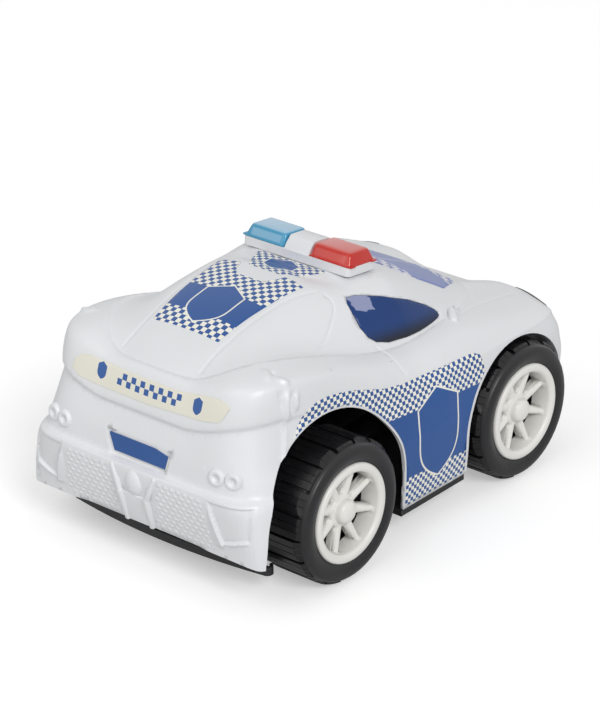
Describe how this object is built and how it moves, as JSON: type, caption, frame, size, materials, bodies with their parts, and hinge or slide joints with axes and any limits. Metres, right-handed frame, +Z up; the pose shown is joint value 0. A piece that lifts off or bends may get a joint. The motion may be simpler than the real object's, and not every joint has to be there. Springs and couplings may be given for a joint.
{
  "type": "toy police car",
  "caption": "Chunky free-rolling toy police car: white moulded body shell on a black chassis, roof light bar with coloured lenses, printed labels and wide treaded wheels on steel axles.",
  "frame": {"origin": "on the ground under the middle of the car", "axes": "+X to the front of the car, +Y to its left side, +Z up"},
  "size_m": [0.2766, 0.1882, 0.1471],
  "materials": {
    "body_white": "semi-gloss cool white moulded plastic",
    "chassis_black": "satin black moulded plastic",
    "steel": "plain drawn steel",
    "wheel_white": "semi-gloss warm white moulded plastic",
    "tyre_black": "satin black soft plastic",
    "lens_blue": "glossy tinted plastic",
    "lens_red": "glossy tinted plastic",
    "label_blue": "printed film, blue with pale checks",
    "label_cream": "printed film, cream",
    "window_blue": "glossy dark blue film",
    "lamp_dark": "glossy dark film"
  },
  "bodies": {
    "car": {"body_shell": "body_white", "chassis": "chassis_black", "chassis_screws": "steel", "light_bar_base": "body_white", "blue_lens": "lens_blue", "red_lens": "lens_red", "hatch_label": "label_blue", "roof_label": "label_blue", "windscreen_label": "label_blue", "rear_panel_label": "label_cream", "number_plate_label": "label_blue", "side_label": "label_blue", "side_window_right": "window_blue", "side_window_left": "window_blue", "headlight_right": "lamp_dark", "headlight_left": "lamp_dark"},
    "rear_wheels": {"rear_axle": "steel", "rear_rim_right": "wheel_white", "rear_rim_left": "wheel_white", "rear_tyre_right": "tyre_black", "rear_tyre_left": "tyre_black"},
    "front_wheels": {"front_axle": "steel", "front_rim_right": "wheel_white", "front_rim_left": "wheel_white", "front_tyre_right": "tyre_black", "front_tyre_left": "tyre_black"}
  },
  "joints": [
    {"name": "rear_roll", "type": "hinge", "parent": "car", "child": "rear_wheels", "pos_m": [-0.07, 0, 0.04], "axis": [0, 1, 0], "continuous": true},
    {"name": "front_roll", "type": "hinge", "parent": "car", "child": "front_wheels", "pos_m": [0.08, 0, 0.04], "axis": [0, 1, 0], "continuous": true}
  ]
}
